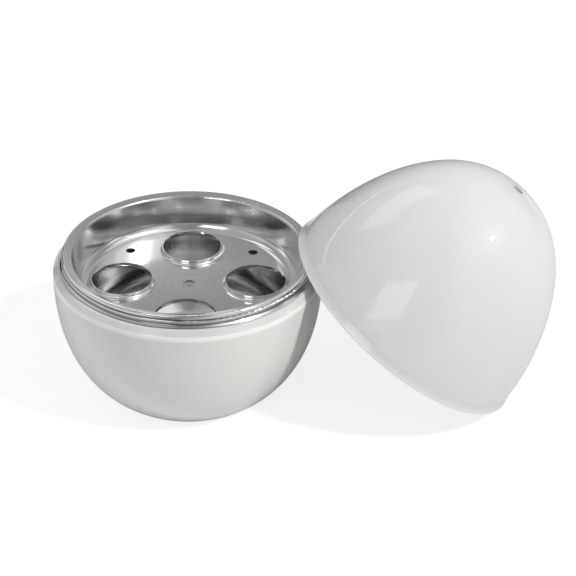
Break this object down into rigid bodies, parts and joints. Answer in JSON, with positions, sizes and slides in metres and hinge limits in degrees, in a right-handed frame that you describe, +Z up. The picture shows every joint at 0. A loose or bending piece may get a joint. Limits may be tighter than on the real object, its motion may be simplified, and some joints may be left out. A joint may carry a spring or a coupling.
{
  "type": "microwave egg cooker",
  "caption": "Egg-shaped microwave egg cooker: white bowl with a metal liner and a pierced egg tray, its vented dome lid taken off and leaning on the rim.",
  "frame": {"origin": "middle of the base's foot ring, on the table", "axes": "+Z up; +X from the base towards the lid that leans on it, so that the XZ plane is the plane of symmetry"},
  "size_m": [0.2497, 0.136, 0.1202],
  "materials": {
    "white_plastic": "smooth gloss moulding",
    "polished_aluminium": "polished, drawn sheet"
  },
  "bodies": {
    "root": {"base_shell": "white_plastic", "base_liner": "polished_aluminium", "egg_tray": "polished_aluminium", "lid_shell": "white_plastic", "lid_liner": "polished_aluminium"}
  },
  "joints": []
}
